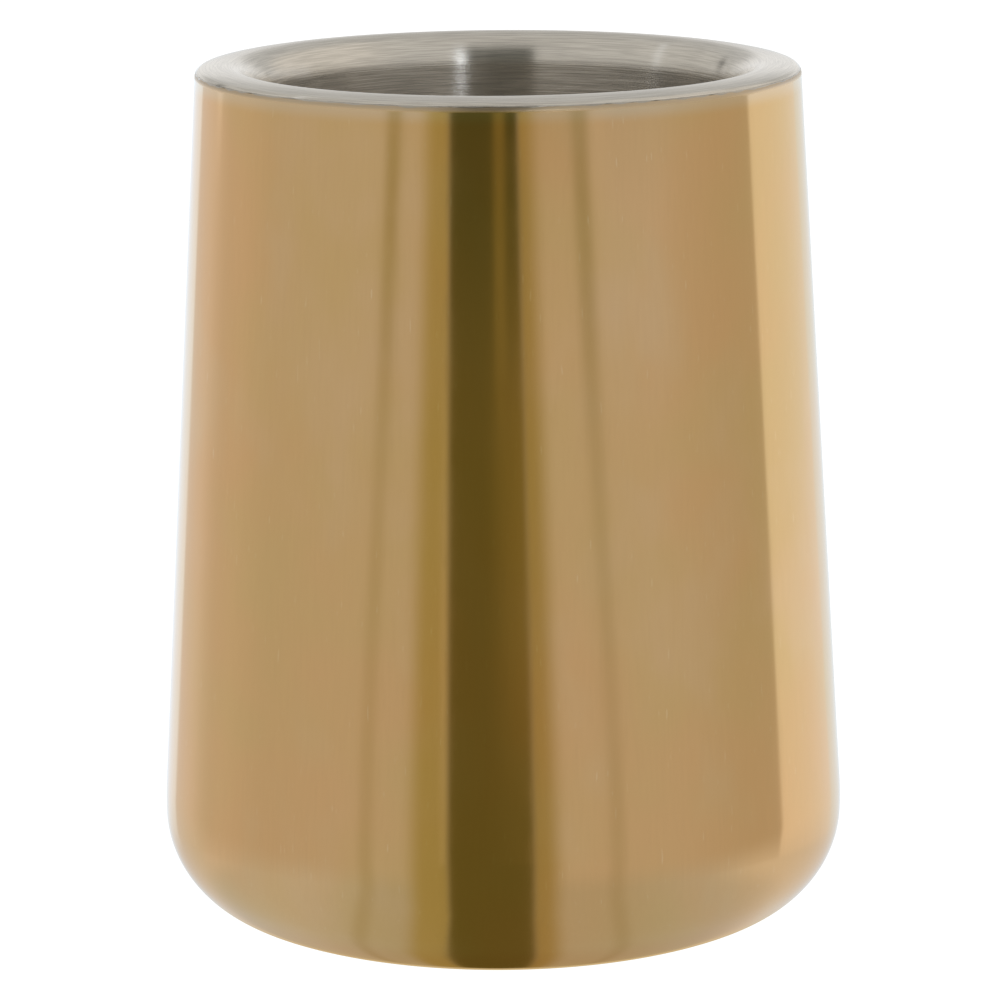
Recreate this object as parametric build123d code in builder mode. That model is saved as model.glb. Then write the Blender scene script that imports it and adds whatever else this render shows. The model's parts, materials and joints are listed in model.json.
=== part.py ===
"""Double-walled champagne bucket.

A plain steel liner with a rolled lip hangs inside a gold-coated outer shell. The two are welded
together at the lip, and a pressed plate closes the shell underneath. Millimetres, +Z up, origin
at the middle of the pad that the bucket stands on. Every piece is round about the Z axis. The
pressed sheets and the plug are sections in the XZ plane, where X is the radius, revolved about
Z, and the flat rings and the pad are extruded circles.
"""

import os
from math import acos, asin, cos, degrees, radians, sin, tan

from build123d import *

# Whole bucket
TOTAL_HEIGHT = 203.6
WIDEST_RADIUS = 80.0
SHEET = 0.8  # thickness of every steel sheet
RING_LIFT = 0.6  # the pad holds the shell's standing ring this far off the table

# Outer shell: a leaning side, then three arcs that turn it under into the standing ring
SIDE_LEAN = 3.27  # degrees in from upright
SHOULDER_RADIUS = 74.0  # the side's soft turn through upright
SHOULDER_BELOW = 2.1  # degrees that it goes on past upright
CORNER_RADIUS = 24.8
UNDERSIDE_RADIUS = 47.7  # the flatter turn beside the standing ring
UNDERSIDE_TURN = 23.0
BASE_SEAM_RADIUS = 44.5

# Liner: a round well, rolled out at the mouth and turned down to meet the shell's edge
WELL_RADIUS = 55.5
WELL_CORNER = 12.0
WELL_FLOOR = 13.0
ROLL_RADIUS = 7.6
CROWN_RADIUS = 25.0
HEM_RADIUS = 2.0
SHELL_EDGE = 202.0  # height of the shell's top edge, where the gold ends, part way round the hem

# Weld beads, ground flush
LIP_BEAD = 0.25
BASE_BEAD = 0.3

# Base plate: a flat ring beside the weld, a step up over the pad, a dimple round the vent
PAD_THICKNESS = 2.4
TAPE_THICKNESS = 0.2
PLATE_LAND = 1.8
STEP_BEND = 2.0
DIMPLE_RADIUS = 6.0
DIMPLE_RISE = 1.2
DIMPLE_BEND = 1.5
VENT_RADIUS = 2.0

# Pad and its tape
PAD_RADIUS = 38.5
PAD_CHAMFER = 0.5
TAPE_RADIUS = 38.0
TAPE_HOLE_RADIUS = 9.5
GROOVE_RADII = (30.0, 22.0, 14.0)
GROOVE_WIDTH = 1.6
GROOVE_DEPTH = 0.6

# Vent plug
PLUG_HEAD_RADIUS = 4.5
PLUG_HEAD = 1.0
PLUG_EDGE = 0.6
PLUG_BARB_RADIUS = 2.8
PLUG_TIP_RADIUS = 1.4
PLUG_BARB = 2.2

# Foam ring between the base plate and the liner's floor
SUPPORT_OUTER = 38.0
SUPPORT_INNER = 24.0
SUPPORT_CHAMFER = 1.0

# Where the pieces meet
recess_z = PAD_THICKNESS + TAPE_THICKNESS
plate_top = recess_z + SHEET
dimple_z = recess_z + DIMPLE_RISE
liner_underside = WELL_FLOOR - SHEET
plate_edge = BASE_SEAM_RADIUS - BASE_BEAD
lean = radians(SIDE_LEAN)

# The shell's outer profile is fixed by its widest radius, so its arcs' centres follow from that
corner_turn = 90 - UNDERSIDE_TURN - SHOULDER_BELOW
corner_inset = (UNDERSIDE_RADIUS - CORNER_RADIUS) * sin(radians(UNDERSIDE_TURN))
corner_drop = (UNDERSIDE_RADIUS - CORNER_RADIUS) * cos(radians(UNDERSIDE_TURN))
shoulder_inset = (SHOULDER_RADIUS - CORNER_RADIUS) * cos(radians(SHOULDER_BELOW))
shoulder_rise = (SHOULDER_RADIUS - CORNER_RADIUS) * sin(radians(SHOULDER_BELOW))
ring_outer = WIDEST_RADIUS - SHOULDER_RADIUS + shoulder_inset - corner_inset
widest_z = RING_LIFT + UNDERSIDE_RADIUS - corner_drop + shoulder_rise


def on_side(height):
    """The point of the leaning side's outer face at a height, as (radius, height)."""
    start_r = WIDEST_RADIUS - SHOULDER_RADIUS * (1 - cos(lean))
    start_z = widest_z + SHOULDER_RADIUS * sin(lean)
    return (start_r - (height - start_z) * tan(lean), height)


# The lip's outer face: roll, crown, hem and leaning side are tangent to one another. The shell's
# top edge, the weld bead and the liner's hem share the hem's arc. Tilts are angles of the face's
# outward normal above the horizontal.
crown_start = WELL_RADIUS + ROLL_RADIUS
crown_reach = (on_side(TOTAL_HEIGHT)[0] - crown_start) * cos(lean) + CROWN_RADIUS * sin(lean)
crown_turn = degrees(asin((crown_reach - HEM_RADIUS) / (CROWN_RADIUS - HEM_RADIUS))) - SIDE_LEAN
hem_r = crown_start + (CROWN_RADIUS - HEM_RADIUS) * sin(radians(crown_turn))
hem_z = TOTAL_HEIGHT - CROWN_RADIUS + (CROWN_RADIUS - HEM_RADIUS) * cos(radians(crown_turn))
edge_tilt = degrees(asin((SHELL_EDGE - hem_z) / HEM_RADIUS))
bead_turn = degrees(LIP_BEAD / HEM_RADIUS)


def on_hem(tilt):
    """The point of the hem's outer face at a tilt, as (radius, height)."""
    return (hem_r + HEM_RADIUS * cos(radians(tilt)), hem_z + HEM_RADIUS * sin(radians(tilt)))


def step_up(start, rise, bend):
    """Two equal arcs that lift a sheet by rise while it runs inward along -X."""
    turn = degrees(acos(1 - rise / (2 * bend)))
    first = JernArc(start, (-1, 0), bend, -turn)
    return JernArc(first @ 1, first % 1, bend, turn)


# Outer shell, gold-coated: standing ring, underside, corner, shoulder, side, turned-in edge
with BuildPart() as outer_shell:
    with BuildSketch(Plane.XZ) as shell_section:
        with BuildLine():
            ring = Line((BASE_SEAM_RADIUS, RING_LIFT), (ring_outer, RING_LIFT))
            underside = JernArc(ring @ 1, (1, 0), UNDERSIDE_RADIUS, UNDERSIDE_TURN)
            corner = JernArc(underside @ 1, underside % 1, CORNER_RADIUS, corner_turn)
            shoulder = JernArc(corner @ 1, corner % 1, SHOULDER_RADIUS, SHOULDER_BELOW + SIDE_LEAN)
            side = Line(shoulder @ 1, on_hem(SIDE_LEAN))
            JernArc(side @ 1, side % 1, HEM_RADIUS, edge_tilt - SIDE_LEAN)
            offset(amount=SHEET, side=Side.LEFT)
        make_face()
    revolve(axis=Axis.Z)

# Inner liner: floor, corner, well, roll, crown and hem, drawn along the face that holds the ice
with BuildPart() as inner_liner:
    with BuildSketch(Plane.XZ) as liner_section:
        with BuildLine():
            floor = Line((0, WELL_FLOOR), (WELL_RADIUS - WELL_CORNER, WELL_FLOOR))
            well_corner = JernArc(floor @ 1, (1, 0), WELL_CORNER, 90)
            well = Line(well_corner @ 1, (WELL_RADIUS, TOTAL_HEIGHT - ROLL_RADIUS))
            roll = JernArc(well @ 1, (0, 1), ROLL_RADIUS, -90)
            crown = JernArc(roll @ 1, (1, 0), CROWN_RADIUS, -crown_turn)
            hem_turn = 90 - crown_turn - edge_tilt - bead_turn
            JernArc(crown @ 1, crown % 1, HEM_RADIUS, -hem_turn)
            offset(amount=SHEET, side=Side.RIGHT)
        make_face()
    revolve(axis=Axis.Z)

# Weld bead between the liner's hem and the shell's edge
with BuildPart() as lip_weld_bead:
    with BuildSketch(Plane.XZ):
        with BuildLine():
            edge_run = (-sin(radians(edge_tilt)), cos(radians(edge_tilt)))
            JernArc(on_hem(edge_tilt), edge_run, HEM_RADIUS, bead_turn)
            offset(amount=SHEET, side=Side.LEFT)
        make_face()
    revolve(axis=Axis.Z)

# Base plate, with its vent hole in the dimple
with BuildPart() as base_plate:
    with BuildSketch(Plane.XZ):
        with BuildLine():
            land = Line((plate_edge, RING_LIFT), (plate_edge - PLATE_LAND, RING_LIFT))
            step = step_up(land @ 1, recess_z - RING_LIFT, STEP_BEND)
            turn = acos(1 - DIMPLE_RISE / (2 * DIMPLE_BEND))
            dimple_start = DIMPLE_RADIUS + 2 * DIMPLE_BEND * sin(turn)
            flat = Line(step @ 1, (dimple_start, recess_z))
            dimple = step_up(flat @ 1, DIMPLE_RISE, DIMPLE_BEND)
            Line(dimple @ 1, (VENT_RADIUS, dimple_z))
            offset(amount=SHEET, side=Side.RIGHT)
        make_face()
    revolve(axis=Axis.Z)

# Weld bead between the base plate's edge and the shell's
with BuildPart() as base_weld_bead:
    with BuildSketch(Plane.XY.offset(RING_LIFT)):
        Circle(BASE_SEAM_RADIUS)
        Circle(plate_edge, mode=Mode.SUBTRACT)
    extrude(amount=SHEET)

# Foam ring that carries the liner's floor and keeps it from ringing
with BuildPart() as liner_support_ring:
    with BuildSketch(Plane.XY.offset(plate_top)):
        Circle(SUPPORT_OUTER)
        Circle(SUPPORT_INNER, mode=Mode.SUBTRACT)
    extrude(amount=liner_underside - plate_top)
    chamfer(liner_support_ring.edges().group_by(Axis.Z)[-1], SUPPORT_CHAMFER)

# Soft plug that closes the vent hole: head, neck and barb
with BuildPart() as vent_plug:
    with BuildSketch(Plane.XZ):
        with BuildLine():
            neck_top = dimple_z + SHEET
            Polyline(
                (0, dimple_z - PLUG_HEAD),
                (PLUG_HEAD_RADIUS - PLUG_EDGE, dimple_z - PLUG_HEAD),
                (PLUG_HEAD_RADIUS, dimple_z - PLUG_HEAD + PLUG_EDGE),
                (PLUG_HEAD_RADIUS, dimple_z),
                (VENT_RADIUS, dimple_z),
                (VENT_RADIUS, neck_top),
                (PLUG_BARB_RADIUS, neck_top),
                (PLUG_TIP_RADIUS, neck_top + PLUG_BARB),
                (0, neck_top + PLUG_BARB),
                close=True,
            )
        make_face()
    revolve(axis=Axis.Z)

# Tape that holds the pad
with BuildPart() as pad_tape:
    with BuildSketch(Plane.XY.offset(PAD_THICKNESS)):
        Circle(TAPE_RADIUS)
        Circle(TAPE_HOLE_RADIUS, mode=Mode.SUBTRACT)
    extrude(amount=TAPE_THICKNESS)

# Non-slip pad, with round grooves in its underside
with BuildPart() as base_pad:
    with BuildSketch():
        Circle(PAD_RADIUS)
    extrude(amount=PAD_THICKNESS)
    chamfer(base_pad.edges().group_by(Axis.Z)[0], PAD_CHAMFER)
    with BuildSketch():
        for groove_radius in GROOVE_RADII:
            Circle(groove_radius + GROOVE_WIDTH / 2)
            Circle(groove_radius - GROOVE_WIDTH / 2, mode=Mode.SUBTRACT)
    extrude(amount=GROOVE_DEPTH, mode=Mode.SUBTRACT)

pieces = {
    "outer_shell": outer_shell,
    "inner_liner": inner_liner,
    "lip_weld_bead": lip_weld_bead,
    "base_plate": base_plate,
    "base_weld_bead": base_weld_bead,
    "liner_support_ring": liner_support_ring,
    "vent_plug": vent_plug,
    "pad_tape": pad_tape,
    "base_pad": base_pad,
}
os.makedirs("parts", exist_ok=True)
for name, piece in pieces.items():
    piece.part.label = name
    export_step(piece.part, f"parts/{name}.step")
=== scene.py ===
"""Looks of the double-walled champagne bucket: gold-coated shell, brushed steel liner, closed base.

Every piece is turned from the same section as its CAD node, finely enough for mirror-like
reflections; the lip's weld line is a ridge with wandering edges. Metres, +Z up, in the CAD
frame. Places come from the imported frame; only the shape's own radii and angles are named here.
"""

import json
import random
from math import acos, asin, atan2, ceil, cos, hypot, pi, radians, sin, tan

import bpy
from mathutils import Euler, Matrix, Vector


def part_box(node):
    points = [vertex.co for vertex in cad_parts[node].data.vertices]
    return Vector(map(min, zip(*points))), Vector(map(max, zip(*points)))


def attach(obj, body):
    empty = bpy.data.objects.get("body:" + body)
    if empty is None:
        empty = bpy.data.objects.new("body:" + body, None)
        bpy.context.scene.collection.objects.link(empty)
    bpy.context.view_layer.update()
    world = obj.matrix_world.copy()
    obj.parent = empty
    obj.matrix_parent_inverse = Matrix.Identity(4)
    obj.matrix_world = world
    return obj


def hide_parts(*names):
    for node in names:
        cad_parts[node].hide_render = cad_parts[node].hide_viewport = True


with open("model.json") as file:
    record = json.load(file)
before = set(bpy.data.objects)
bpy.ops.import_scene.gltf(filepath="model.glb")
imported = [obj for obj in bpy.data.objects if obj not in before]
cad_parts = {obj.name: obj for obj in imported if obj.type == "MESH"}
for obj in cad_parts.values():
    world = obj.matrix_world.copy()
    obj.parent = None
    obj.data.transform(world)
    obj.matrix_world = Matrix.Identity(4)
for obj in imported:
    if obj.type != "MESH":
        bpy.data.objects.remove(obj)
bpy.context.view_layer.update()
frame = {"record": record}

MM = 0.001

# ---------------------------------------------------------------- sizes
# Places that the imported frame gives
shell_low, shell_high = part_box("outer_shell")
liner_low, liner_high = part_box("inner_liner")
lip_bead_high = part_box("lip_weld_bead")[1]
plate_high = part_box("base_plate")[1]
base_bead_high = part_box("base_weld_bead")[1]
foam_low, foam_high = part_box("liner_support_ring")
plug_low, plug_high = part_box("vent_plug")
tape_low, tape_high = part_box("pad_tape")
pad_low, pad_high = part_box("base_pad")
well = next(m for m in frame["record"]["mounts"] if m["name"] == "well")

# The shape's own radii and angles
SHEET = 0.8 * MM
SIDE_LEAN = radians(3.27)
SHOULDER_RADIUS = 74.0 * MM
SHOULDER_BELOW = radians(2.1)
CORNER_RADIUS = 24.8 * MM
UNDERSIDE_RADIUS = 47.7 * MM
UNDERSIDE_TURN = radians(23.0)
WELL_CORNER = 12.0 * MM
ROLL_RADIUS = 7.6 * MM
CROWN_RADIUS = 25.0 * MM
HEM_RADIUS = 2.0 * MM
PLATE_LAND = 1.8 * MM
STEP_BEND = 2.0 * MM
DIMPLE_RADIUS = 6.0 * MM
DIMPLE_RISE = 1.2 * MM
DIMPLE_BEND = 1.5 * MM
VENT_RADIUS = 2.0 * MM
PAD_EDGE = 0.5 * MM
TAPE_HOLE_RADIUS = 9.5 * MM
GROOVE_RADII = (30.0 * MM, 22.0 * MM, 14.0 * MM)
GROOVE_WIDTH = 1.6 * MM
GROOVE_DEPTH = 0.6 * MM
GROOVE_ROUND = 0.2 * MM
PLUG_HEAD = 1.0 * MM
PLUG_EDGE = 0.6 * MM
PLUG_BARB_RADIUS = 2.8 * MM
PLUG_TIP_RADIUS = 1.4 * MM
FOAM_INNER = 24.0 * MM
FOAM_EDGE = 1.0 * MM

SEGMENTS = 360  # round the axis
TAPE_SEGMENTS = 180
PLUG_SEGMENTS = 96
BEAD_SEGMENTS = 1440
MERGE = 1e-7  # points of a section nearer than this are one point
RUN_STEP = 3.0 * MM  # longest straight step along a section
BEND_STEP = radians(1.5)  # largest turn of one step along a section

widest = max(shell_high.x, shell_high.y)
ring_lift = shell_low.z
shell_edge = shell_high.z
lip_top = liner_high.z
hem_end = lip_bead_high.z
well_radius = well["dims"]["r_mm"] * MM
well_floor = liner_low.z + SHEET
base_seam = base_bead_high.x
plate_edge = plate_high.x


def side_radius(height):
    """Radius of the leaning side's outer face at a height."""
    lift = (UNDERSIDE_RADIUS - CORNER_RADIUS) * cos(UNDERSIDE_TURN)
    rise = (SHOULDER_RADIUS - CORNER_RADIUS) * sin(SHOULDER_BELOW)
    middle = ring_lift + UNDERSIDE_RADIUS - lift + rise
    start_r = widest - SHOULDER_RADIUS * (1 - cos(SIDE_LEAN))
    start_z = middle + SHOULDER_RADIUS * sin(SIDE_LEAN)
    return start_r - (height - start_z) * tan(SIDE_LEAN)


# The lip's outer face: roll, crown, hem and side are tangent to one another. A tilt is the angle
# of the face's outward normal above the horizontal.
roll_top_r = well_radius + ROLL_RADIUS
crown_reach = (side_radius(lip_top) - roll_top_r) * cos(SIDE_LEAN) + CROWN_RADIUS * sin(SIDE_LEAN)
crown_turn = asin((crown_reach - HEM_RADIUS) / (CROWN_RADIUS - HEM_RADIUS)) - SIDE_LEAN
hem_r = roll_top_r + (CROWN_RADIUS - HEM_RADIUS) * sin(crown_turn)
hem_z = lip_top - CROWN_RADIUS + (CROWN_RADIUS - HEM_RADIUS) * cos(crown_turn)
shell_tilt = asin((shell_edge - hem_z) / HEM_RADIUS)
liner_tilt = asin((hem_end - hem_z) / HEM_RADIUS)


def on_hem(tilt, above=0.0):
    """Radius and height of the hem's face at a tilt, or of a point above the face."""
    return (hem_r + (HEM_RADIUS + above) * cos(tilt), hem_z + (HEM_RADIUS + above) * sin(tilt))


# ---------------------------------------------------------------- sections
class Stroke:
    """A pen stroke in the half plane of radius and height, with the piece's outside on its right.

    Each span is a smooth stretch, a list of (radius, height, heading). A sharp corner starts a
    new span.
    """

    def __init__(self, r, z, heading=0.0):
        self.r, self.z, self.heading = r, z, heading
        self.spans = [[(r, z, heading)]]

    def run(self, length):
        """Straight on by a length."""
        steps = max(1, ceil(length / RUN_STEP))
        for _ in range(steps):
            self.r += length / steps * cos(self.heading)
            self.z += length / steps * sin(self.heading)
            self.spans[-1].append((self.r, self.z, self.heading))
        return self

    def bend(self, radius, angle):
        """Along an arc; a positive angle turns left."""
        steps = max(2, ceil(abs(angle) / BEND_STEP))
        side = radius if angle > 0 else -radius
        middle_r = self.r - side * sin(self.heading)
        middle_z = self.z + side * cos(self.heading)
        for _ in range(steps):
            self.heading += angle / steps
            self.r = middle_r + side * sin(self.heading)
            self.z = middle_z - side * cos(self.heading)
            self.spans[-1].append((self.r, self.z, self.heading))
        return self

    def turn(self, heading):
        """A sharp corner to a new heading."""
        self.heading = heading
        self.spans.append([(self.r, self.z, heading)])
        return self

    def to(self, r, z):
        """A sharp corner and a straight line to a point."""
        self.turn(atan2(z - self.z, r - self.r))
        return self.run(hypot(r - self.r, z - self.z))

    def close(self):
        """A straight line back to the start."""
        return self.to(*self.spans[0][0][:2])


def sheet_of(stroke, thickness=SHEET):
    """The closed section of a sheet whose outside is the stroke."""
    front = [s for s in stroke.spans if len(s) > 1]
    back = []
    for span in reversed(front):
        back.append(
            [(r - thickness * sin(h), z + thickness * cos(h), h + pi) for r, z, h in reversed(span)]
        )
    caps = []
    for before, after, turn in ((front, back, pi / 2), (back, front, pi / 2)):
        r0, z0, h0 = before[-1][-1]
        r1, z1, _ = after[0][0]
        caps.append([(r0, z0, h0 + turn), (r1, z1, h0 + turn)])
    return front + [caps[0]] + back + [caps[1]]


def turned(name, spans, segments=SEGMENTS):
    """A mesh object turned about Z from closed spans, with the exact normals of its section."""
    rings, faces = [], []
    first = {}

    def ring(r, z):
        key = (round(r / MERGE), round(z / MERGE))
        if key not in first:
            first[key] = len(rings)
            rings.append((max(r, 0.0), z))
        return first[key]

    walls = []
    for span in spans:
        for (r0, z0, h0), (r1, z1, h1) in zip(span, span[1:]):
            a, b = ring(r0, z0), ring(r1, z1)
            if a != b and max(rings[a][0], rings[b][0]) > MERGE:
                walls.append((a, b, h0, h1))

    angles = [2 * pi * s / segments for s in range(segments)]
    vertices, start, width = [], [], []
    for r, z in rings:
        start.append(len(vertices))
        if r < MERGE:
            vertices.append((0.0, 0.0, z))
            width.append(1)
        else:
            vertices.extend((r * cos(a), r * sin(a), z) for a in angles)
            width.append(segments)

    def corner(index, s):
        return start[index] + (s % segments if width[index] > 1 else 0)

    def normal(heading, s):
        a = 2 * pi * s / segments
        return (sin(heading) * cos(a), sin(heading) * sin(a), -cos(heading))

    normals = []
    for a, b, h0, h1 in walls:
        for s in range(segments):
            loop = [(a, s, h0), (a, s + 1, h0), (b, s + 1, h1), (b, s, h1)]
            if width[a] == 1:
                loop.pop(1)
            if width[b] == 1:
                loop.pop(2)
            faces.append([corner(i, k) for i, k, _ in loop])
            normals.extend(normal(h, k) for _, k, h in loop)

    mesh = bpy.data.meshes.new(name)
    mesh.from_pydata(vertices, [], faces)
    mesh.shade_smooth()
    mesh.normals_split_custom_set(normals)
    thing = bpy.data.objects.new(name, mesh)
    bpy.context.scene.collection.objects.link(thing)
    return thing


# ---------------------------------------------------------------- node graphs
class Graph:
    """Short ways to add nodes to a node tree."""

    def __init__(self, tree):
        self.tree = tree
        tree.nodes.clear()

    def add(self, kind, settings=None, **inputs):
        """A node. Inputs go by socket name, with _ for a space, and are values or sockets."""
        node = self.tree.nodes.new(kind)
        for key, value in (settings or {}).items():
            setattr(node, key, value)
        for key, value in inputs.items():
            self.feed(node.inputs[key.replace("_", " ")], value)
        return node

    def feed(self, socket, value):
        """Links a socket to an input, or sets the input to a value."""
        if isinstance(value, bpy.types.NodeSocket):
            self.tree.links.new(value, socket)
        else:
            socket.default_value = value

    def math(self, operation, *values, clamp=False):
        """One sum or function of values and sockets."""
        node = self.tree.nodes.new("ShaderNodeMath")
        node.operation = operation
        node.use_clamp = clamp
        for socket, value in zip(node.inputs, values):
            self.feed(socket, value)
        return node.outputs[0]

    def smooth(self, value, low, high, start=0.0, end=1.0, kind="SMOOTHSTEP"):
        """value from low to high becomes start to end."""
        node = self.tree.nodes.new("ShaderNodeMapRange")
        node.interpolation_type = kind
        for socket, given in zip(node.inputs, (value, low, high, start, end)):
            self.feed(socket, given)
        return node.outputs[0]

    def rise(self, value, ramp, end=1.0):
        """0 before the ramp, end after it."""
        return self.smooth(value, *ramp, 0.0, end)

    def fall(self, value, ramp, start=1.0, end=0.0):
        """start before the ramp, end after it."""
        return self.smooth(value, *ramp, start, end)

    def window(self, value, opening, closing):
        """0, rising over the first ramp and falling back to 0 over the second."""
        return self.product(self.rise(value, opening), self.fall(value, closing))

    def product(self, first, *others):
        for factor in others:
            first = self.math("MULTIPLY", first, factor)
        return first

    def blend(self, a, share_of_a, b, share_of_b):
        """A weighted sum of two values."""
        return self.math("ADD", self.product(a, share_of_a), self.product(b, share_of_b))

    def mix(self, share, a, b):
        """Colour a, with a share of colour b over it."""
        node = self.tree.nodes.new("ShaderNodeMix")
        node.data_type = "RGBA"
        for index, given in ((0, share), (6, a), (7, b)):
            if isinstance(given, tuple) and len(given) == 3:
                given = (*given, 1.0)
            self.feed(node.inputs[index], given)
        return node.outputs[2]

    def noise(self, vector, scale, detail=2.0, roughness=0.5, w=None):
        """Smooth noise from 0 to 1; scale is in features per unit of the vector."""
        node = self.tree.nodes.new("ShaderNodeTexNoise")
        node.noise_dimensions = "3D" if w is None else "4D"
        self.feed(node.inputs["Vector"], vector)
        node.inputs["Scale"].default_value = scale
        node.inputs["Detail"].default_value = detail
        node.inputs["Roughness"].default_value = roughness
        if w is not None:
            self.feed(node.inputs["W"], w)
        return node.outputs[0]

    def scaled(self, vector, x, y, z):
        """vector with each axis scaled."""
        node = self.tree.nodes.new("ShaderNodeVectorMath")
        node.operation = "MULTIPLY"
        self.feed(node.inputs[0], vector)
        node.inputs[1].default_value = (x, y, z)
        return node.outputs[0]


def material(name):
    """A new material, its graph, its Principled shader, and the position on the piece in metres."""
    made = bpy.data.materials.new(name)
    made.use_nodes = True
    graph = Graph(made.node_tree)
    shader = graph.add("ShaderNodeBsdfPrincipled")
    out = graph.add("ShaderNodeOutputMaterial")
    graph.tree.links.new(shader.outputs[0], out.inputs[0])
    place = graph.add("ShaderNodeTexCoord").outputs["Object"]
    return made, graph, shader, place


def axes_of(graph, place):
    """x, y, z and the distance from the axis."""
    parts = graph.add("ShaderNodeSeparateXYZ", Vector=place).outputs
    x, y, z = parts[0], parts[1], parts[2]
    r = graph.math("SQRT", graph.math("ADD", graph.product(x, x), graph.product(y, y)))
    return x, y, z, r


def circling(graph, place, slow):
    """Coordinates whose noise runs in lines round the axis: in mm across them, slow along them."""
    x, y, z, r = axes_of(graph, place)
    across = graph.add(
        "ShaderNodeCombineXYZ",
        X=graph.product(r, 1 / MM),
        Y=graph.product(z, 1 / MM),
        Z=graph.product(x, slow),
    )
    return across.outputs[0], graph.product(y, slow)


def bump(graph, height, distance, strength=1.0, under=None):
    """A bump normal; under is a bump normal that this one adds to."""
    node = graph.add("ShaderNodeBump", Height=height, Distance=distance, Strength=strength)
    if under is not None:
        graph.feed(node.inputs["Normal"], under)
    return node.outputs[0]


# ---------------------------------------------------------------- materials
# Colours of the gold coating
WARM_GOLD = (0.785, 0.484, 0.226)
GREEN_GOLD = (0.748, 0.497, 0.221)
PALE_GOLD = (0.775, 0.515, 0.262)
GRAIN_TONE = (0.50, 0.31, 0.14)
SCRATCH_TONE = (0.95, 0.78, 0.55)
THIN_TONE = (0.765, 0.565, 0.345)  # where the coating runs out below the lip weld
HEM_SHADE_TONE = (0.52, 0.41, 0.28)  # painted shade: a darker band beside the lip weld, which also dims the lamp's reflection there
THIN_BAND = 4.6 * MM
HEM_BAND = 1.1 * MM
PALE_SHARE = 0.9
GRAIN_SHARE = 0.06
SCRATCH_SHARE = 0.22

# How much longer upright the gold's marks are: heights are scaled by this
CLOUD_STRETCH = 0.6
GRAIN_STRETCH = 0.045
SCRATCH_STRETCH = 0.1

GOLD_ROUGHNESS = (0.08, 0.105)
RIDGE_ROUGHNESS = 0.03  # added on the grain's ridges
HEM_ROUGHNESS = 0.22  # added beside the lip weld
WAVE_DEPTH = 0.02 * MM
GRAIN_DEPTH = 0.0004 * MM

# Colours of the steel
STEEL = (0.70, 0.655, 0.583)
STEEL_CLOUD = (0.67, 0.635, 0.585)
WELD_STEEL = (0.50, 0.455, 0.39)
BRUSHED_DARK = 0.83  # share of the colour in the brushing's dark lines
BRUSHED_LIGHT = 1.09
LONG_LINES = 2.5  # noise features per metre along the brushing
SHORT_LINES = 30.0
STEEL_CLOUD_SHARE = 0.10
STEEL_SPREAD = (-0.02, 0.03)  # of the roughness
CROWN_BAND = (lip_top - 3.5 * MM, lip_top - 0.5 * MM)  # the lip's crown is smoother
CROWN_POLISH = 0.7  # its share of the roughness
CROWN_GROOVES = 0.25  # its share of the bump

MOULDED_SPREAD = 0.06  # of the roughness, up and down

# Parts of a noise's range from 0 to 1. Most of its values lie in the first two.
WIDE = (0.3, 0.7)
MIDDLE = (0.35, 0.65)
UPPER = (0.48, 0.68)
RIDGES = (0.55, 0.8)
PEAKS = (0.78, 0.83)


def gold_coating():
    """Polished steel with a thin gold-coloured coating: faint upright grain, slow colour drift."""
    made, graph, shader, place = material("gold_coating")
    z = axes_of(graph, place)[2]

    drift = graph.noise(place, scale=22.0)
    colour = graph.mix(graph.rise(drift, MIDDLE), GREEN_GOLD, WARM_GOLD)
    cloud_place = graph.scaled(place, 1.0, 1.0, CLOUD_STRETCH)
    cloud = graph.noise(cloud_place, scale=31.0, detail=3.0, roughness=0.55, w=2.7)
    colour = graph.mix(graph.rise(cloud, UPPER, PALE_SHARE), colour, PALE_GOLD)
    grain_place = graph.scaled(place, 1.0, 1.0, GRAIN_STRETCH)
    grain = graph.noise(grain_place, scale=1400.0, detail=3.0, roughness=0.6)
    grained = graph.smooth(grain, *WIDE, 0.0, GRAIN_SHARE, "LINEAR")
    colour = graph.mix(grained, colour, GRAIN_TONE)
    scratch_place = graph.scaled(place, 1.0, 1.0, SCRATCH_STRETCH)
    scratches = graph.noise(scratch_place, scale=2400.0, detail=0.0, w=1.3)
    colour = graph.mix(graph.rise(scratches, PEAKS, SCRATCH_SHARE), colour, SCRATCH_TONE)
    thin = graph.rise(z, (shell_edge - THIN_BAND, shell_edge - HEM_BAND))
    colour = graph.mix(thin, colour, THIN_TONE)
    # Painted shade: the band beside the lip weld is darkened, which also dims the lamp's reflection
    # there
    ground = graph.rise(z, (shell_edge - HEM_BAND, shell_edge - 0.3 * HEM_BAND))
    colour = graph.mix(ground, colour, HEM_SHADE_TONE)

    shader.inputs["Metallic"].default_value = 1.0
    graph.feed(shader.inputs["Base Color"], colour)

    smears = graph.noise(place, scale=60.0, detail=3.0, roughness=0.6)
    polish = graph.smooth(smears, *WIDE, *GOLD_ROUGHNESS)
    polish = graph.math("ADD", polish, graph.rise(grain, RIDGES, RIDGE_ROUGHNESS))
    scuffed = (shell_edge - 1.2 * HEM_BAND, shell_edge - 0.75 * HEM_BAND)
    polish = graph.math("ADD", polish, graph.rise(z, scuffed, HEM_ROUGHNESS))
    graph.feed(shader.inputs["Roughness"], polish)

    waves = graph.noise(place, scale=30.0, detail=1.0, roughness=0.4)
    wave = bump(graph, waves, WAVE_DEPTH)
    graph.feed(shader.inputs["Normal"], bump(graph, grain, GRAIN_DEPTH, under=wave))
    return made


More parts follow.
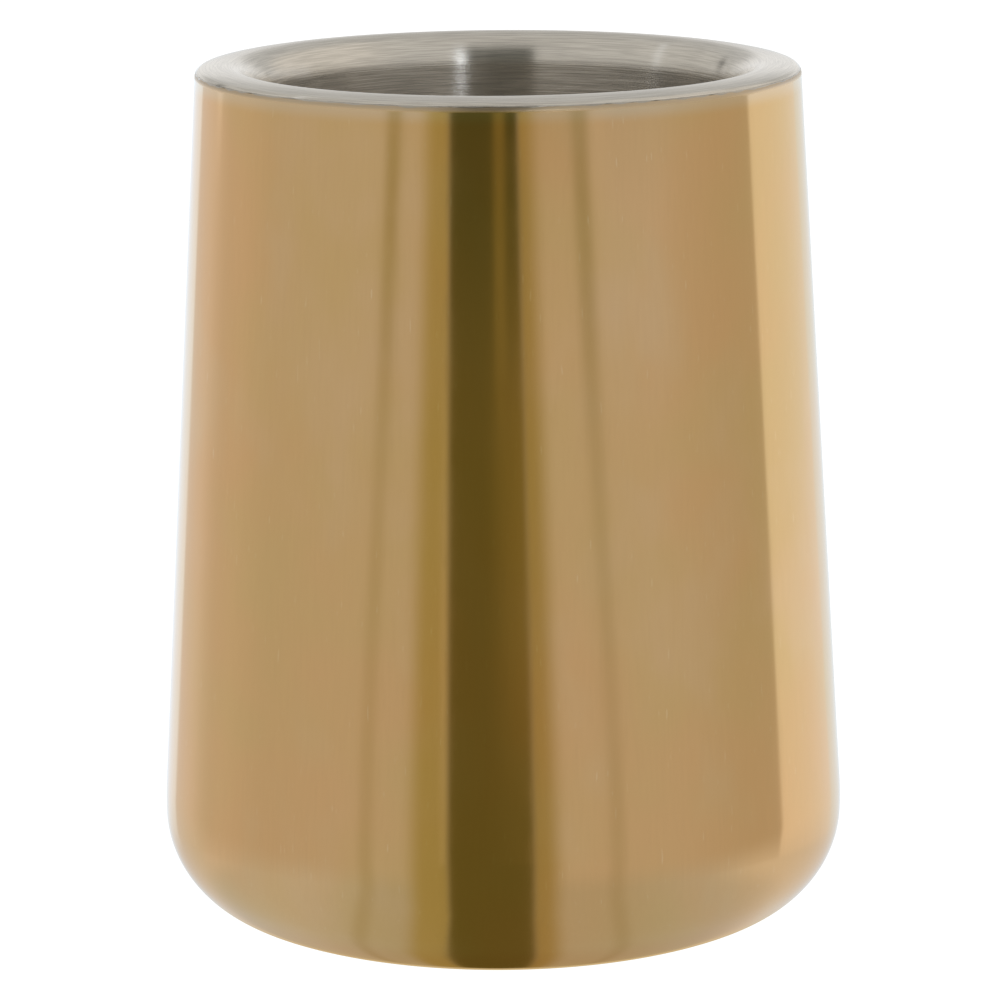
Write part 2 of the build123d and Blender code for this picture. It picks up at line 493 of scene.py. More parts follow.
def brushed_steel(name, tint, roughness, groove):
    """Steel brushed in circles about the axis; groove is the depth of its bump."""
    made, graph, shader, place = material(name)
    z = axes_of(graph, place)[2]
    long_lines, long_w = circling(graph, place, LONG_LINES)
    grooves = graph.noise(long_lines, scale=4.0, detail=1.0, w=long_w)
    short_lines, short_w = circling(graph, place, SHORT_LINES)
    fine = graph.noise(short_lines, scale=3.6, detail=1.0, roughness=0.6, w=short_w)
    broad = graph.noise(long_lines, scale=0.9, roughness=0.55, w=long_w)
    brushing = graph.blend(fine, 0.8, broad, 0.2)

    dark = tuple(BRUSHED_DARK * c for c in tint)
    light = tuple(BRUSHED_LIGHT * c for c in tint)
    colour = graph.mix(graph.rise(brushing, MIDDLE), dark, light)
    cloud = graph.noise(place, scale=28.0)
    colour = graph.mix(graph.rise(cloud, WIDE, STEEL_CLOUD_SHARE), colour, STEEL_CLOUD)

    shader.inputs["Metallic"].default_value = 1.0
    graph.feed(shader.inputs["Base Color"], colour)
    smoothest, roughest = (roughness + spread for spread in STEEL_SPREAD)
    satin = graph.smooth(brushing, *WIDE, smoothest, roughest, "LINEAR")
    polish = graph.fall(z, CROWN_BAND, end=CROWN_POLISH)
    graph.feed(shader.inputs["Roughness"], graph.product(satin, polish))
    shader.inputs["Anisotropic"].default_value = 1.0
    shader.inputs["Anisotropic Rotation"].default_value = 0.25
    tangent = graph.add("ShaderNodeTangent", {"direction_type": "RADIAL", "axis": "Z"})
    graph.feed(shader.inputs["Tangent"], tangent.outputs[0])
    strength = graph.fall(z, CROWN_BAND, end=CROWN_GROOVES)
    graph.feed(shader.inputs["Normal"], bump(graph, grooves, groove, strength))
    return made


def moulded(name, dark, light, roughness, grain_size, depth):
    """Rubber, silicone or foam: fine even grain, slight colour drift."""
    made, graph, shader, place = material(name)
    grain = graph.noise(place, scale=1.0 / grain_size, detail=3.0, roughness=0.6)
    drift = graph.noise(place, scale=60.0)
    tone = graph.blend(grain, 0.5, drift, 0.5)
    graph.feed(shader.inputs["Base Color"], graph.mix(graph.rise(tone, MIDDLE), dark, light))
    smoothest, roughest = roughness - MOULDED_SPREAD, roughness + MOULDED_SPREAD
    satin = graph.smooth(grain, *WIDE, smoothest, roughest, "LINEAR")
    graph.feed(shader.inputs["Roughness"], satin)
    graph.feed(shader.inputs["Normal"], bump(graph, grain, depth))
    return made


gold = gold_coating()
liner_steel = brushed_steel(
    "liner_brushed_steel", tint=STEEL, roughness=0.235, groove=0.036 * MM
)
weld_steel = brushed_steel(
    "ground_weld_steel", tint=WELD_STEEL, roughness=0.35, groove=0.02 * MM
)
rubber = moulded(
    "pad_black_rubber",
    dark=(0.018, 0.018, 0.018),
    light=(0.035, 0.034, 0.033),
    roughness=0.62,
    grain_size=0.35 * MM,
    depth=0.02 * MM,
)
silicone = moulded(
    "plug_silicone",
    dark=(0.56, 0.55, 0.52),
    light=(0.66, 0.65, 0.62),
    roughness=0.45,
    grain_size=0.5 * MM,
    depth=0.01 * MM,
)
foam = moulded(
    "support_foam",
    dark=(0.66, 0.65, 0.62),
    light=(0.84, 0.83, 0.80),
    roughness=0.92,
    grain_size=0.7 * MM,
    depth=0.12 * MM,
)
tape = moulded(
    "pad_tape",
    dark=(0.76, 0.74, 0.67),
    light=(0.85, 0.83, 0.77),
    roughness=0.6,
    grain_size=0.8 * MM,
    depth=0.01 * MM,
)


# ---------------------------------------------------------------- pieces
def finish_piece(thing, look, slot, *nodes):
    """Gives a piece its material, hangs it from the root body and hides the CAD nodes that it
    stands for.
    """
    thing.data.materials.append(look)
    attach(thing, "root")
    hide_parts(*nodes)
    return thing


# Outer shell
corner_inset = (UNDERSIDE_RADIUS - CORNER_RADIUS) * sin(UNDERSIDE_TURN)
shoulder_inset = (SHOULDER_RADIUS - CORNER_RADIUS) * cos(SHOULDER_BELOW)
ring_outer = widest - SHOULDER_RADIUS + shoulder_inset - corner_inset
shell_stroke = Stroke(base_seam, ring_lift)
shell_stroke.run(ring_outer - base_seam)
shell_stroke.bend(UNDERSIDE_RADIUS, UNDERSIDE_TURN)
shell_stroke.bend(CORNER_RADIUS, pi / 2 - UNDERSIDE_TURN - SHOULDER_BELOW)
shell_stroke.bend(SHOULDER_RADIUS, SHOULDER_BELOW + SIDE_LEAN)
shell_stroke.run((on_hem(SIDE_LEAN)[1] - shell_stroke.z) / cos(SIDE_LEAN))
shell_stroke.bend(HEM_RADIUS, shell_tilt - SIDE_LEAN)
shell = turned("shell", sheet_of(shell_stroke))
finish_piece(shell, gold, "gold_coated_steel", "outer_shell")

# Inner liner, from the end of its hem over the crown and down into the well
liner_stroke = Stroke(*on_hem(liner_tilt), liner_tilt + pi / 2)
liner_stroke.bend(HEM_RADIUS, pi / 2 - crown_turn - liner_tilt)
liner_stroke.bend(CROWN_RADIUS, crown_turn)
liner_stroke.bend(ROLL_RADIUS, pi / 2)
liner_stroke.run(liner_stroke.z - well_floor - WELL_CORNER)
liner_stroke.bend(WELL_CORNER, -pi / 2)
liner_stroke.run(liner_stroke.r)
liner = turned("liner", sheet_of(liner_stroke))
finish_piece(liner, liner_steel, "brushed_liner_steel", "inner_liner")


def wander(seed, count, slowest, fastest):
    """A smooth function of the angle round the axis, from about -1 to 1, that closes on itself."""
    picker = random.Random(seed)
    waves = [(picker.randint(slowest, fastest), picker.uniform(0, 2 * pi)) for _ in range(count)]
    share = (2.0 / count) ** 0.5
    return lambda angle: share * sum(sin(n * angle + phase) for n, phase in waves)


# The lip weld's edges and height, in mm: a middle value and how far it wanders
BEAD_LOW = (0.12, 0.10)  # how far it reaches down over the gold
BEAD_HIGH = (0.03, 0.03)  # how far it reaches up over the steel
BEAD_PROUD = (0.020, 0.006)
BEAD_SUNK = 0.01 * MM  # its edges lie this far inside the face
BEAD_SHOULDER = 0.3  # the shoulders' share of the way from an edge to the middle
BEAD_CREST = 1.2  # height of the middle over that of the shoulders


def lip_bead():
    """The ground weld at the lip: a low ridge with wandering edges, where the gold ends."""
    low_edge = wander(seed=3, count=9, slowest=5, fastest=90)
    high_edge = wander(seed=8, count=9, slowest=5, fastest=150)
    height = wander(seed=5, count=7, slowest=9, fastest=240)
    vertices, faces = [], []
    for s in range(BEAD_SEGMENTS):
        a = 2 * pi * s / BEAD_SEGMENTS
        low = shell_tilt - (BEAD_LOW[0] + BEAD_LOW[1] * low_edge(a)) * MM / HEM_RADIUS
        high = liner_tilt + (BEAD_HIGH[0] + BEAD_HIGH[1] * high_edge(a)) * MM / HEM_RADIUS
        proud = (BEAD_PROUD[0] + BEAD_PROUD[1] * height(a)) * MM
        middle = (low + high) / 2
        low_shoulder = low * (1 - BEAD_SHOULDER) + middle * BEAD_SHOULDER
        high_shoulder = high * (1 - BEAD_SHOULDER) + middle * BEAD_SHOULDER
        section = (
            on_hem(shell_tilt, -SHEET),
            on_hem(low, -SHEET / 2),
            on_hem(low, -BEAD_SUNK),
            on_hem(low_shoulder, proud),
            on_hem(middle, proud * BEAD_CREST),
            on_hem(high_shoulder, proud),
            on_hem(high, -BEAD_SUNK),
            on_hem(high, -SHEET / 2),
            on_hem(liner_tilt, -SHEET),
        )
        vertices.extend((r * cos(a), r * sin(a), z) for r, z in section)
        ring = s * len(section)
        following = (s + 1) % BEAD_SEGMENTS * len(section)
        for k in range(len(section)):
            after = (k + 1) % len(section)
            faces.append((ring + k, following + k, following + after, ring + after))
    mesh = bpy.data.meshes.new("lip_bead")
    mesh.from_pydata(vertices, [], faces)
    mesh.shade_smooth()
    thing = bpy.data.objects.new("lip_bead", mesh)
    bpy.context.scene.collection.objects.link(thing)
    return thing


finish_piece(lip_bead(), weld_steel, "ground_weld_steel", "lip_weld_bead")


# Base plate: land beside the weld, step up over the pad, dimple round the vent
def step_up(stroke, rise, bend):
    """Two equal arcs that lift an inward-running sheet."""
    turn = acos(1 - rise / (2 * bend))
    stroke.bend(bend, -turn)
    stroke.bend(bend, turn)


recess_z = plate_high.z - SHEET - DIMPLE_RISE
plate_stroke = Stroke(plate_edge, ring_lift + SHEET, pi)
plate_stroke.run(PLATE_LAND)
step_up(plate_stroke, recess_z - ring_lift, STEP_BEND)
dimple_turn = acos(1 - DIMPLE_RISE / (2 * DIMPLE_BEND))
plate_stroke.run(plate_stroke.r - DIMPLE_RADIUS - 2 * DIMPLE_BEND * sin(dimple_turn))
step_up(plate_stroke, DIMPLE_RISE, DIMPLE_BEND)
plate_stroke.run(plate_stroke.r - VENT_RADIUS)
finish_piece(turned("plate", sheet_of(plate_stroke)), gold, "gold_coated_steel", "base_plate")

# Weld bead round the base plate, flush with the standing ring's face
bead_stroke = Stroke(plate_edge, ring_lift)
bead_stroke.run(base_seam - plate_edge)
base_bead = turned("base_bead", sheet_of(bead_stroke))
finish_piece(base_bead, gold, "gold_coated_steel", "base_weld_bead")

# Foam ring
foam_stroke = Stroke(FOAM_INNER, foam_low.z)
foam_stroke.run(foam_high.x - FOAM_INNER).turn(pi / 2)
foam_stroke.run(foam_high.z - foam_low.z - FOAM_EDGE).bend(FOAM_EDGE, pi / 2)
foam_stroke.run(foam_high.x - FOAM_INNER - 2 * FOAM_EDGE).bend(FOAM_EDGE, pi / 2)
foam_stroke.close()
foam_ring = turned("foam_ring", foam_stroke.spans)
finish_piece(foam_ring, foam, "support_foam", "liner_support_ring")

# Vent plug: head, neck and barb
dimple_z = plug_low.z + PLUG_HEAD
neck_top = dimple_z + SHEET
plug_stroke = Stroke(0.0, plug_low.z)
plug_stroke.run(plug_high.x - PLUG_EDGE).bend(PLUG_EDGE, pi / 2).run(PLUG_HEAD - PLUG_EDGE)
plug_stroke.to(VENT_RADIUS, dimple_z).to(VENT_RADIUS, neck_top).to(PLUG_BARB_RADIUS, neck_top)
plug_stroke.to(PLUG_TIP_RADIUS, plug_high.z).to(0.0, plug_high.z)
plug = turned("plug", plug_stroke.spans, PLUG_SEGMENTS)
finish_piece(plug, silicone, "plug_silicone", "vent_plug")

# Tape
tape_stroke = Stroke(TAPE_HOLE_RADIUS, tape_low.z)
tape_stroke.run(tape_high.x - TAPE_HOLE_RADIUS).to(tape_high.x, tape_high.z)
tape_stroke.to(TAPE_HOLE_RADIUS, tape_high.z).close()
finish_piece(turned("tape", tape_stroke.spans, TAPE_SEGMENTS), tape, "pad_tape", "pad_tape")

# Rubber pad: rounded lower edge, and round-edged grooves in its underside
pad_stroke = Stroke(0.0, pad_low.z)
for radius in sorted(GROOVE_RADII):
    pad_stroke.run(radius - GROOVE_WIDTH / 2 - GROOVE_ROUND - pad_stroke.r)
    pad_stroke.bend(GROOVE_ROUND, pi / 2).run(GROOVE_DEPTH - 2 * GROOVE_ROUND)
    pad_stroke.bend(GROOVE_ROUND, -pi / 2).run(GROOVE_WIDTH - 2 * GROOVE_ROUND)
    pad_stroke.bend(GROOVE_ROUND, -pi / 2).run(GROOVE_DEPTH - 2 * GROOVE_ROUND)
    pad_stroke.bend(GROOVE_ROUND, pi / 2)
pad_stroke.run(pad_high.x - PAD_EDGE - pad_stroke.r).bend(PAD_EDGE, pi / 2)
pad_stroke.run(pad_high.z - pad_low.z - PAD_EDGE).to(0.0, pad_high.z)
finish_piece(turned("pad", pad_stroke.spans), rubber, "pad_rubber", "base_pad")


# ---------------------------------------------------------------- studio
# A light tent seen from the bucket, whose polished coating and brushed steel reflect it. It is
# made of strips of colour, each between two edges. An edge is (azimuth at eye level, azimuth where
# the tent meets the table, softness), in degrees to the right of the camera, which looks in
# through a dark slit.
#
# A ramp is the pair of values between which something comes in or goes out. It is an elevation in
# degrees unless its comment or its name says otherwise: a dip goes from 0 at eye level to 1 where
# the tent meets the table, a rise is the sine of the elevation, a right is how far a direction
# points to the right, and an ahead is how far it points towards the camera, from -1 to 1.
TABLE_DIP = 8.4  # degrees below eye level where the tent meets the table

# Walls of the tent
WALL = (0.60, 0.60, 0.585)
STRIPS = (
    ("lit left wall", (-149, -149, 0.8), (-122, -122, 16), (0.775, 0.78, 0.80)),
    ("left wall", (-122, -122, 12), (-100, -100, 14), (0.66, 0.655, 0.64)),
    ("left gap glow", (-38, -40, 2), (-29, -30, 3), (0.59, 0.59, 0.57)),
    ("right wall", (75, 75, 20), (107, 108.3, 0.8), (0.555, 0.542, 0.49)),
    ("bright card", (107, 108.3, 0.8), (150, 150, 1.0), (0.90, 0.93, 0.955)),
)
LOWER_WALL_END = (1.0, 7.0)  # elevation above which the lower wall's marks are gone
CARD_TOP = (0.90, 0.945, 1.05)
CARD_TOP_DIP = (0.1, 0.6)
RIGHT_PATCH = ((34, 40, 8), (66, 60, 8), (0.62, 0.635, 0.68))
RIGHT_PATCH_DIP = ((0.1, 0.25), (0.35, 0.65))
LEFT_GLINT = ((-131, -131, 1.4), (-127, -127, 1.4), (0.95, 0.98, 1.05))
LEFT_GLINT_DIP = ((0.15, 0.3), (0.45, 0.65))
TOP_SHADE = ((8, 8, 2), (33, 33, 3), (0.52, 0.50, 0.44))
TOP_SHADE_ELEVATION = ((-2.0, -1.0), LOWER_WALL_END)
TOP_PATCH = ((40, 40, 6), (78, 78, 12), (0.53, 0.565, 0.58))
TOP_PATCH_DIP = (0.1, 0.3)

# Upper wall, which the well and the lip see
UPPER_WALL = (0.675, 0.67, 0.65)
UPPER_RIGHT = ((60, 60, 20), (140, 140, 10), (0.83, 0.80, 0.755))
UPPER_WALL_START = (3.0, 14.0)
SIDE_STREAK = ((-87.5, -87.5, 1.5), (-83.5, -83.5, 1.5), (0.92, 0.94, 0.96))
SIDE_GAP = ((-142, -142, 3.0), (-136, -136, 3.0), (0.20, 0.20, 0.19))
SIDE_ELEVATION = ((6.0, 14.0), (50.0, 60.0))
ROOF = (0.61, 0.605, 0.585)
RIGHT_ROOF = (0.745, 0.735, 0.705)
ROOF_START = (55.0, 80.0)
ROOF_RIGHT = (0.05, 0.55)

# Backdrop, seen past the bucket's edges
LEFT_BACKDROP = (0.95, 1.08, 1.24)
RIGHT_BACKDROP = (0.87, 0.97, 1.06)
BACKDROP = (0.87, 0.87, 0.865)
HIGH_BACKDROP = (0.60, 0.60, 0.59)
BACKDROP_EDGE = (148.5, 149.5)  # degrees away from the camera
BACKDROP_RIGHT = (-0.2, 0.2)
BACKDROP_START = (-4.0, 2.0)
BACKDROP_TOP = (9.0, 18.0)

# Table. On it the strips run on in straight lines towards a point on the bucket's far side.
TABLE_POLE = 0.96  # how far behind the bucket that point lies
TABLE_RISE = (-0.36, -0.20)
TURN_RISE = (-0.40, -0.18)
UPPER_TURN_RISE = (0.0, 0.10)  # the strips lean together above eye level too
SHRINK = 0.165  # the share by which the lines draw together under the bucket
SHRINK_RISE = (-0.6, -0.3)
SHRINK_AHEAD = (-0.35, 0.65)
POLE_AHEAD = (-0.95, -0.82)
TABLE_NEAR = (0.53, 0.555, 0.54)
TABLE_LEFT = (0.635, 0.68, 0.74)
TABLE_RIGHT = (0.575, 0.635, 0.69)
TABLE_FAR_LEFT = (0.74, 0.755, 0.80)
TABLE_FAR_RIGHT = (0.77, 0.82, 0.87)
TABLE_HALF_RIGHT = (-0.1, 0.1)
TABLE_NEAR_END = (30.0, 75.0)  # degrees away from the camera
TABLE_LEFT_END = (-122.0, -92.0)  # azimuth, as is the next
TABLE_RIGHT_START = (68.0, 104.0)

# Seams of the tent, and the lining of the slit
SEAMS = (
    ("left seam", (-39.8, -49.5, 2.0), (-34.6, -44.5, 2.0), (0.42, 0.40, 0.27)),
    ("right seam", (25, 36, 2.2), (31, 41, 2.2), (0.41, 0.405, 0.31)),
)
SEAM_DIP = (0.3, 0.6)
SEAM_ON_TABLE = 0.45
LININGS = (
    ("slit lining left", (-26, -31, 4), (-18, -18.6, 1.0), (0.43, 0.40, 0.20)),
    ("slit lining right", (6.6, 10.3, 1.0), (11.5, 18, 4), (0.40, 0.36, 0.18)),
)
SLIT_LIT_EDGE = ((-20.4, -21.2, 0.8), (-18.6, -19.2, 0.6), (0.50, 0.47, 0.29))
LIT_EDGE_DIP = (0.3, 0.65)
LIT_EDGE_RISE = (-0.20, -0.13)

# Dark slit that the camera looks in through
SLIT = ((-18, -18.6, 1.2), (6.6, 10.3, 1.2))
SLIT_TONE = (0.083, 0.090, 0.030)
SLIT_LOW_TONE = (0.146, 0.134, 0.041)
SLIT_LOW_DIP = (0.1, 0.5)
SLIT_HIGH_TONE = (0.130, 0.132, 0.120)
SLIT_STRIPE = ((-1.8, -1.8, 1.5), (2.2, 2.2, 1.5), (0.23, 0.205, 0.065))
SLIT_STRIPE_DIP = (0.35, 0.55)
SLIT_GLOW = ((-1.0, 1.0, 7.0), (6.6, 10.3, 1.2), (0.24, 0.205, 0.068))
SLIT_GLOW_DIP = ((0.2, 0.5), (0.75, 1.0))
SLIT_MARKS = 0.9  # strength of the stripe and the glow
SLIT_END = (54.0, 66.0)
SLIT_TOP = ((6.6, 6.6, 1.2), (15.4, 15.4, 0.7))
SLIT_TOP_START = (4.0, 9.0)
SLIT_AHEAD = (-0.1, 0.1)
SLIT_RISE = (-0.1, 0.0)

# Narrow lamp beside the slit, which makes the streak inside the well
STREAK = ((16.6, 16.6, 0.6), (20.4, 20.4, 0.6))
STREAK_LOW = (4.6, 4.95, 5.5)
STREAK_HIGH = (1.2, 1.28, 1.4)
STREAK_ELEVATION = ((4.5, 7.0), (50.0, 60.0))
STREAK_DIMS = (10.0, 18.0)

# Table under the bucket
SHADE_REACH = 76.0 * MM
SHADE_EDGE = (56.0 * MM, 75.5 * MM)
SHADE_TONE = (0.88, 0.66, 0.34)
SHADE_DROP = 0.1 * MM  # below the pad's face, so that the two don't share a plane
FLOOR_DROP = 0.2 * MM

# What the camera sees round the bucket
WHITE = (1.0, 1.0, 1.0)
WHITE_STRENGTH = 1.1
FLOOR_REACH = 6.0
ROOM_REACH = 8.0


class Tent:
    """The tent's node graph: directions as values, and strips laid over colours."""

    def __init__(self, tree):
        self.graph = graph = Graph(tree)
        direction = graph.add("ShaderNodeTexCoord").outputs["Generated"]
        self.x, y, self.z = graph.add("ShaderNodeSeparateXYZ", Vector=direction).outputs
        self.ahead = graph.math("MULTIPLY", y, -1.0)
        self.level_azimuth = graph.math("DEGREES", graph.math("ARCTAN2", self.x, self.ahead))
        self.elevation = graph.math("DEGREES", graph.math("ARCSINE", self.z))
        self.dip = graph.math("DIVIDE", self.elevation, -TABLE_DIP, clamp=True)
        self.before_pole = graph.rise(self.ahead, POLE_AHEAD)
        self.azimuth = self.bent_azimuth()

    def bent_azimuth(self):
        """Azimuth of the strip in a direction: on the table the strips turn towards the pole."""
        graph = self.graph
        half = graph.math("ARCTAN2", self.x, graph.math("ADD", self.ahead, TABLE_POLE))
        on_table = graph.math("DEGREES", graph.math("MULTIPLY", half, 2.0))
        shrink = graph.smooth(self.ahead, *SHRINK_AHEAD, SHRINK, 0.0, "LINEAR")
        shrink = graph.product(shrink, graph.fall(self.z, SHRINK_RISE))
        on_table = graph.product(on_table, graph.math("SUBTRACT", 1.0, shrink))
        low = graph.product(self.before_pole, graph.fall(self.z, TURN_RISE))
        curved = graph.math("MAXIMUM", low, graph.rise(self.z, UPPER_TURN_RISE))
        turn = graph.math("SUBTRACT", on_table, self.level_azimuth)
        return graph.math("MULTIPLY_ADD", curved, turn, self.level_azimuth)

    def past(self, edge):
        """1 to the right of an edge, 0 to its left."""
        level, low_down, soft = edge
        place = self.graph.math("MULTIPLY_ADD", self.dip, low_down - level, level)
        return self.graph.smooth(self.graph.math("SUBTRACT", self.azimuth, place), -soft, soft)

    def over(self, base, left, right, colour, share=None):
        """A strip of a colour laid over a base colour."""
        mask = self.graph.math("SUBTRACT", self.past(left), self.past(right), clamp=True)
        if share is not None:
            mask = self.graph.product(mask, share)
        return self.graph.mix(mask, base, colour)

    def walls(self):
        """The tent's walls all round."""
        graph, dip, elevation = self.graph, self.dip, self.elevation
        walls = WALL
        for _, left, right, colour in STRIPS:
            walls = self.over(walls, left, right, colour)
        below = graph.fall(elevation, LOWER_WALL_END)
        card_left, card_right = STRIPS[-1][1:3]
        walls = self.over(walls, card_left, card_right, CARD_TOP, graph.fall(dip, CARD_TOP_DIP))
        patch = graph.product(below, graph.window(dip, *RIGHT_PATCH_DIP))
        walls = self.over(walls, *RIGHT_PATCH, patch)
        glint = graph.product(below, graph.window(dip, *LEFT_GLINT_DIP))
        walls = self.over(walls, *LEFT_GLINT, glint)
        walls = self.over(walls, *TOP_SHADE, graph.window(elevation, *TOP_SHADE_ELEVATION))
        walls = self.over(walls, *TOP_PATCH, graph.product(below, graph.fall(dip, TOP_PATCH_DIP)))
        upper = self.over(UPPER_WALL, *UPPER_RIGHT)
        walls = graph.mix(graph.rise(elevation, UPPER_WALL_START), walls, upper)
        sides = graph.window(elevation, *SIDE_ELEVATION)
        walls = self.over(walls, *SIDE_STREAK, sides)
        return self.over(walls, *SIDE_GAP, sides)

    def backdrop(self):
        """What the bucket's edges reflect from behind it."""
        graph = self.graph
        backdrop = graph.mix(graph.rise(self.x, BACKDROP_RIGHT), LEFT_BACKDROP, RIGHT_BACKDROP)
        backdrop = graph.mix(graph.rise(self.elevation, BACKDROP_START), backdrop, BACKDROP)
        return graph.mix(graph.rise(self.elevation, BACKDROP_TOP), backdrop, HIGH_BACKDROP)

    def table(self):
        """The table, paler away from the camera."""
        graph = self.graph
        table = graph.mix(graph.rise(self.x, TABLE_HALF_RIGHT), TABLE_LEFT, TABLE_RIGHT)
        aside = graph.math("ABSOLUTE", self.azimuth)
        table = graph.mix(graph.rise(aside, TABLE_NEAR_END), TABLE_NEAR, table)
        table = graph.mix(graph.fall(self.azimuth, TABLE_LEFT_END), table, TABLE_FAR_LEFT)
        table = graph.mix(graph.rise(self.azimuth, TABLE_RIGHT_START), table, TABLE_FAR_RIGHT)
        return graph.mix(self.before_pole, TABLE_FAR_RIGHT, table)

    def seamed(self, tent):
        """The seams and the slit's lining, laid over the tent."""
        graph = self.graph
        below = graph.product(graph.fall(self.elevation, LOWER_WALL_END), self.before_pole)
        seam_share = graph.product(below, graph.fall(self.dip, SEAM_DIP, end=SEAM_ON_TABLE))
        for _, left, right, colour in SEAMS:
            tent = self.over(tent, left, right, colour, seam_share)
        for _, left, right, colour in LININGS:
            tent = self.over(tent, left, right, colour, below)
        lit = graph.product(
            below, graph.rise(self.dip, LIT_EDGE_DIP), graph.rise(self.z, LIT_EDGE_RISE)
        )
        return self.over(tent, *SLIT_LIT_EDGE, lit)

    def slit(self, tent):
        """The dark slit and the narrow lamp beside it, laid over the tent."""
        graph, dip, elevation = self.graph, self.dip, self.elevation
        depth = graph.mix(graph.rise(dip, SLIT_LOW_DIP), SLIT_TONE, SLIT_LOW_TONE)
        depth = self.over(depth, *SLIT_STRIPE, graph.fall(dip, SLIT_STRIPE_DIP, SLIT_MARKS))
        glow = graph.product(graph.window(dip, *SLIT_GLOW_DIP), SLIT_MARKS)
        depth = self.over(depth, *SLIT_GLOW, glow)
        depth = graph.mix(graph.rise(elevation, LOWER_WALL_END), depth, SLIT_HIGH_TONE)
        on_table = graph.product(self.before_pole, graph.fall(self.z, SLIT_RISE))
        seen = graph.math("MAXIMUM", graph.rise(self.ahead, SLIT_AHEAD), on_table)
        slit = graph.product(seen, graph.fall(elevation, SLIT_END))
        tent = self.over(tent, *SLIT, depth, slit)
        top = graph.product(slit, graph.rise(elevation, SLIT_TOP_START))
        tent = self.over(tent, *SLIT_TOP, SLIT_HIGH_TONE, top)
        streak = graph.mix(graph.rise(elevation, STREAK_DIMS), STREAK_LOW, STREAK_HIGH)
        lit = graph.product(seen, graph.window(elevation, *STREAK_ELEVATION))
        return self.over(tent, *STREAK, streak, lit)


def light_tent():
    """The world's light."""
    world = bpy.data.worlds.new("light_tent")
    bpy.context.scene.world = world
    world.use_nodes = True
    tent = Tent(world.node_tree)
    graph = tent.graph
    away = graph.math("ABSOLUTE", tent.level_azimuth)
    colour = graph.mix(graph.rise(away, BACKDROP_EDGE), tent.walls(), tent.backdrop())
    colour = graph.mix(graph.fall(tent.z, TABLE_RISE), colour, tent.table())
    colour = tent.slit(tent.seamed(colour))
    roof = graph.mix(graph.rise(tent.x, ROOF_RIGHT), ROOF, RIGHT_ROOF)
    colour = graph.mix(graph.rise(tent.elevation, ROOF_START), colour, roof)
    background = graph.add("ShaderNodeBackground", Color=colour)
    out = graph.add("ShaderNodeOutputWorld")
    graph.tree.links.new(background.outputs[0], out.inputs[0])


def surface(name, kind, **inputs):
    """A material of a single shader."""
    made = bpy.data.materials.new(name)
    made.use_nodes = True
    graph = Graph(made.node_tree)
    shader = graph.add(kind, **inputs)
    out = graph.add("ShaderNodeOutputMaterial")
    graph.tree.links.new(shader.outputs[0], out.inputs[0])
    return made, graph, shader


def white(name):
    """A plain white glow that isn't sampled as a lamp."""
    made = surface(name, "ShaderNodeEmission", Color=(*WHITE, 1.0), Strength=WHITE_STRENGTH)[0]
    made.cycles.emission_sampling = "NONE"
    return made


def stage_object(name, points, faces, look):
    """A mesh that stands round the bucket and isn't part of it."""
    mesh = bpy.data.meshes.new(name)
    mesh.from_pydata(points, [], faces)
    mesh.materials.append(look)
    thing = bpy.data.objects.new(name, mesh)
    bpy.context.scene.collection.objects.link(thing)
    return thing


def only_camera_sees(thing):
    """Keeps a stage object out of the reflections and the light, which come from the tent."""
    thing.visible_diffuse = False
    thing.visible_glossy = False
    thing.visible_transmission = False
    thing.visible_volume_scatter = False
    thing.visible_shadow = False


def floor():
    """A pale table, whose own light reaches only the camera."""
    reach, z = FLOOR_REACH, -FLOOR_DROP
    points = [(-reach, -reach, z), (reach, -reach, z), (reach, reach, z), (-reach, reach, z)]
    only_camera_sees(stage_object("floor", points, [(0, 1, 2, 3)], white("pale_floor")))


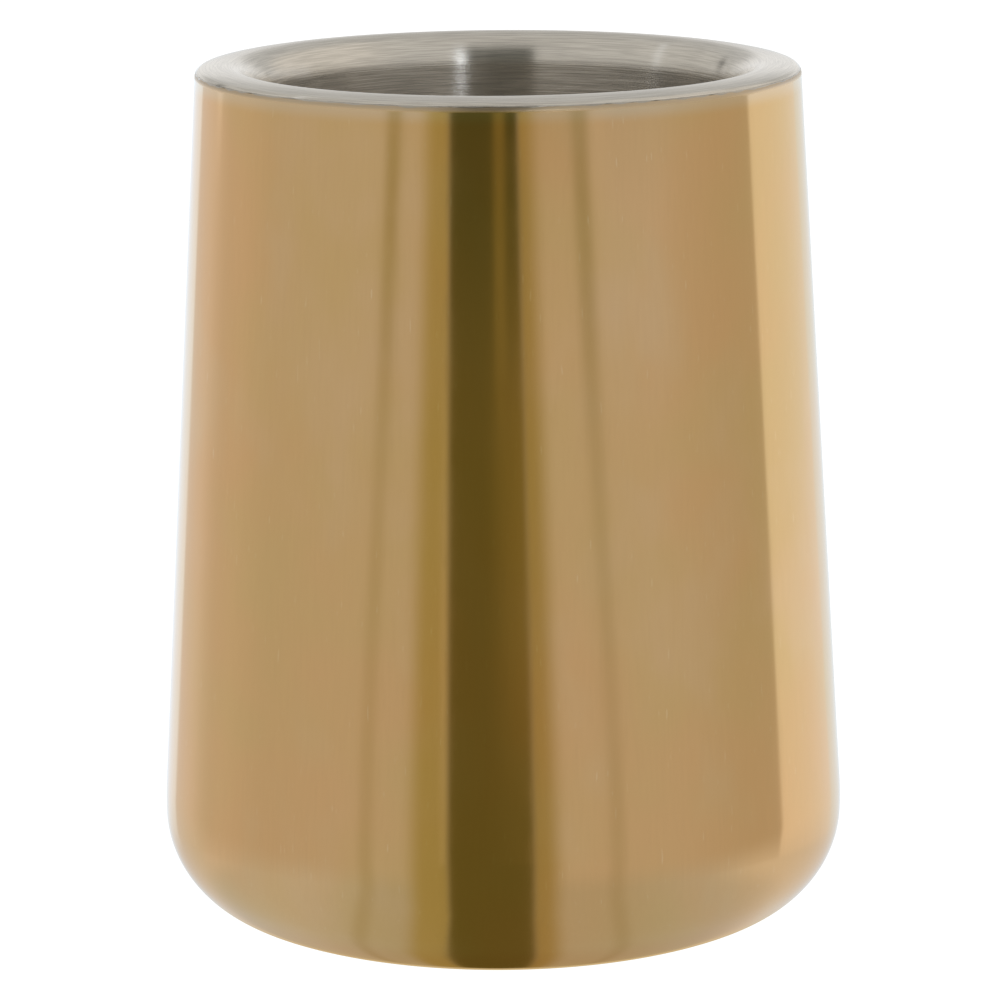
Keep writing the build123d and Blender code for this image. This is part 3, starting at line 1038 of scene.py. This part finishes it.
def room():
    """A white room, whose own light reaches only the camera."""
    rings, sides = 16, 32
    points, faces = [], []
    for i in range(rings + 1):
        tilt = pi * i / rings
        r, z = ROOM_REACH * sin(tilt), ROOM_REACH * cos(tilt)
        for k in range(sides):
            a = 2 * pi * k / sides
            points.append((r * cos(a), r * sin(a), z))
    for i in range(rings):
        above, below = i * sides, (i + 1) * sides
        for k in range(sides):
            after = (k + 1) % sides
            faces.append((above + k, above + after, below + after, below + k))
    only_camera_sees(stage_object("room", points, faces, white("white_room")))


def shaded_table():
    """The dim, gold-lit table under the bucket, which only the underside's gloss picks up."""
    rings, sides = 4, 48
    points = [(0.0, 0.0, -SHADE_DROP)]
    for i in range(1, rings + 1):
        r = SHADE_REACH * i / rings
        for k in range(sides):
            a = 2 * pi * k / sides
            points.append((r * cos(a), r * sin(a), -SHADE_DROP))
    faces = [(0, 1 + k, 1 + (k + 1) % sides) for k in range(sides)]
    for i in range(rings - 1):
        inner, outer = 1 + i * sides, 1 + (i + 1) * sides
        for k in range(sides):
            after = (k + 1) % sides
            faces.append((inner + k, outer + k, outer + after, inner + after))
    made, graph, shader = surface("shaded_table", "ShaderNodeBsdfTransparent")
    r = axes_of(graph, graph.add("ShaderNodeTexCoord").outputs["Object"])[3]
    graph.feed(shader.inputs["Color"], graph.mix(graph.rise(r, SHADE_EDGE), SHADE_TONE, WHITE))
    thing = stage_object("shaded_table", points, faces, made)
    thing.visible_camera = False
    thing.visible_diffuse = False
    thing.visible_shadow = False


light_tent()
floor()
room()
shaded_table()
bpy.context.scene.view_settings.view_transform = "Standard"

# ---------------------------------------------------------------- camera
CAMERA_DISTANCE = 1.300
CAMERA_ELEVATION = radians(11.419)
CAMERA_ROLL = radians(-0.424)
SENSOR = 36.0  # in mm, as is the lens
LENS = 5.5215 * SENSOR
CLIP = (0.01, 30.0)
AIM = Vector((-0.00026, 0.0, 0.100))
camera_data = bpy.data.cameras.new("camera")
camera_data.sensor_width = SENSOR
camera_data.lens = LENS
camera_data.clip_start, camera_data.clip_end = CLIP
camera = bpy.data.objects.new("camera", camera_data)
bpy.context.scene.collection.objects.link(camera)
back = Vector((0.0, -cos(CAMERA_ELEVATION), sin(CAMERA_ELEVATION)))
camera.location = AIM + back * CAMERA_DISTANCE
camera.rotation_mode = "QUATERNION"
level = (-back).to_track_quat("-Z", "Y")
camera.rotation_quaternion = level @ Euler((0.0, 0.0, CAMERA_ROLL)).to_quaternion()
bpy.context.scene.camera = camera
